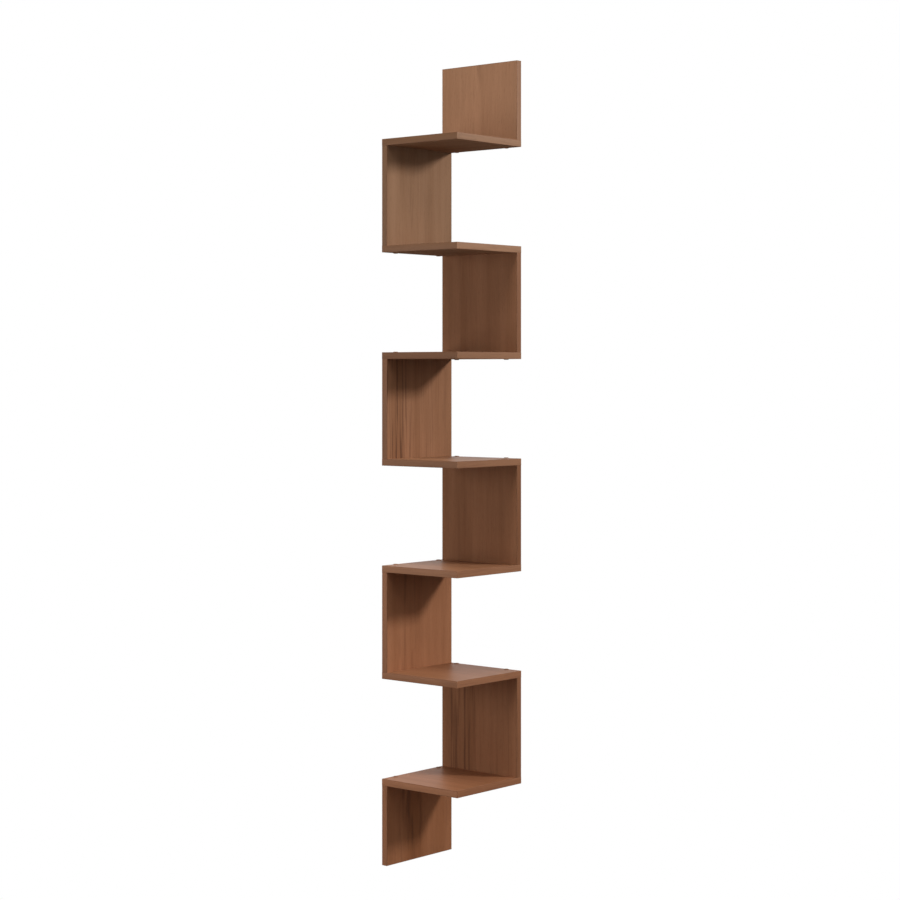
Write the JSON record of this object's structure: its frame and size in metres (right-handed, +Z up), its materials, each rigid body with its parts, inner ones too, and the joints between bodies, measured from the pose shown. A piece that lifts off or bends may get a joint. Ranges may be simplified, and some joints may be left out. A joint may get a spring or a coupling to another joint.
{
  "type": "corner wall shelf",
  "caption": "Tall zigzag corner wall shelf: square walnut-look boards joined by upright panels that step from wall to wall, hung on keyhole plates.",
  "frame": {"origin": "on the line where the two walls meet, at the height of the part's lower end", "axes": "+Z up; +X along the right wall, away from the corner; -Y along the left wall, away from the corner"},
  "size_m": [0.22, 0.22, 1.791],
  "materials": {
    "walnut_board": "matt walnut-look laminate on chipboard",
    "walnut_edge_band": "matt walnut-look plastic edge band",
    "cap_plastic": "matt brown moulded plastic",
    "zinc_screw": "zinc plated steel",
    "zinc_plate": "zinc plated stamped steel"
  },
  "bodies": {
    "root": {"left_hanger_screws": "zinc_screw", "left_panel_1": "walnut_board", "left_panel_1_front_edge_band": "walnut_edge_band", "left_panel_1_hanger_plate": "zinc_plate", "left_panel_2": "walnut_board", "left_panel_2_front_edge_band": "walnut_edge_band", "left_panel_3": "walnut_board", "left_panel_3_front_edge_band": "walnut_edge_band", "left_panel_3_hanger_plate": "zinc_plate", "left_panel_4": "walnut_board", "left_panel_4_bottom_edge_band": "walnut_edge_band", "left_panel_4_front_edge_band": "walnut_edge_band", "right_hanger_screws": "zinc_screw", "right_panel_1": "walnut_board", "right_panel_1_front_edge_band": "walnut_edge_band", "right_panel_1_hanger_plate": "zinc_plate", "right_panel_1_top_edge_band": "walnut_edge_band", "right_panel_2": "walnut_board", "right_panel_2_front_edge_band": "walnut_edge_band", "right_panel_3": "walnut_board", "right_panel_3_front_edge_band": "walnut_edge_band", "right_panel_3_hanger_plate": "zinc_plate", "right_panel_4": "walnut_board", "right_panel_4_front_edge_band": "walnut_edge_band", "shelf_1": "walnut_board", "shelf_1_joint_screws": "zinc_screw", "shelf_1_left_edge_band": "walnut_edge_band", "shelf_1_right_edge_band": "walnut_edge_band", "shelf_1_screw_caps": "cap_plastic", "shelf_2": "walnut_board", "shelf_2_joint_screws": "zinc_screw", "shelf_2_left_edge_band": "walnut_edge_band", "shelf_2_right_edge_band": "walnut_edge_band", "shelf_2_screw_caps": "cap_plastic", "shelf_3": "walnut_board", "shelf_3_joint_screws": "zinc_screw", "shelf_3_left_edge_band": "walnut_edge_band", "shelf_3_right_edge_band": "walnut_edge_band", "shelf_3_screw_caps": "cap_plastic", "shelf_4": "walnut_board", "shelf_4_joint_screws": "zinc_screw", "shelf_4_left_edge_band": "walnut_edge_band", "shelf_4_right_edge_band": "walnut_edge_band", "shelf_4_screw_caps": "cap_plastic", "shelf_5": "walnut_board", "shelf_5_joint_screws": "zinc_screw", "shelf_5_left_edge_band": "walnut_edge_band", "shelf_5_right_edge_band": "walnut_edge_band", "shelf_5_screw_caps": "cap_plastic", "shelf_6": "walnut_board", "shelf_6_joint_screws": "zinc_screw", "shelf_6_left_edge_band": "walnut_edge_band", "shelf_6_right_edge_band": "walnut_edge_band", "shelf_6_screw_caps": "cap_plastic", "shelf_7": "walnut_board", "shelf_7_joint_screws": "zinc_screw", "shelf_7_left_edge_band": "walnut_edge_band", "shelf_7_right_edge_band": "walnut_edge_band", "shelf_7_screw_caps": "cap_plastic"}
  },
  "joints": []
}
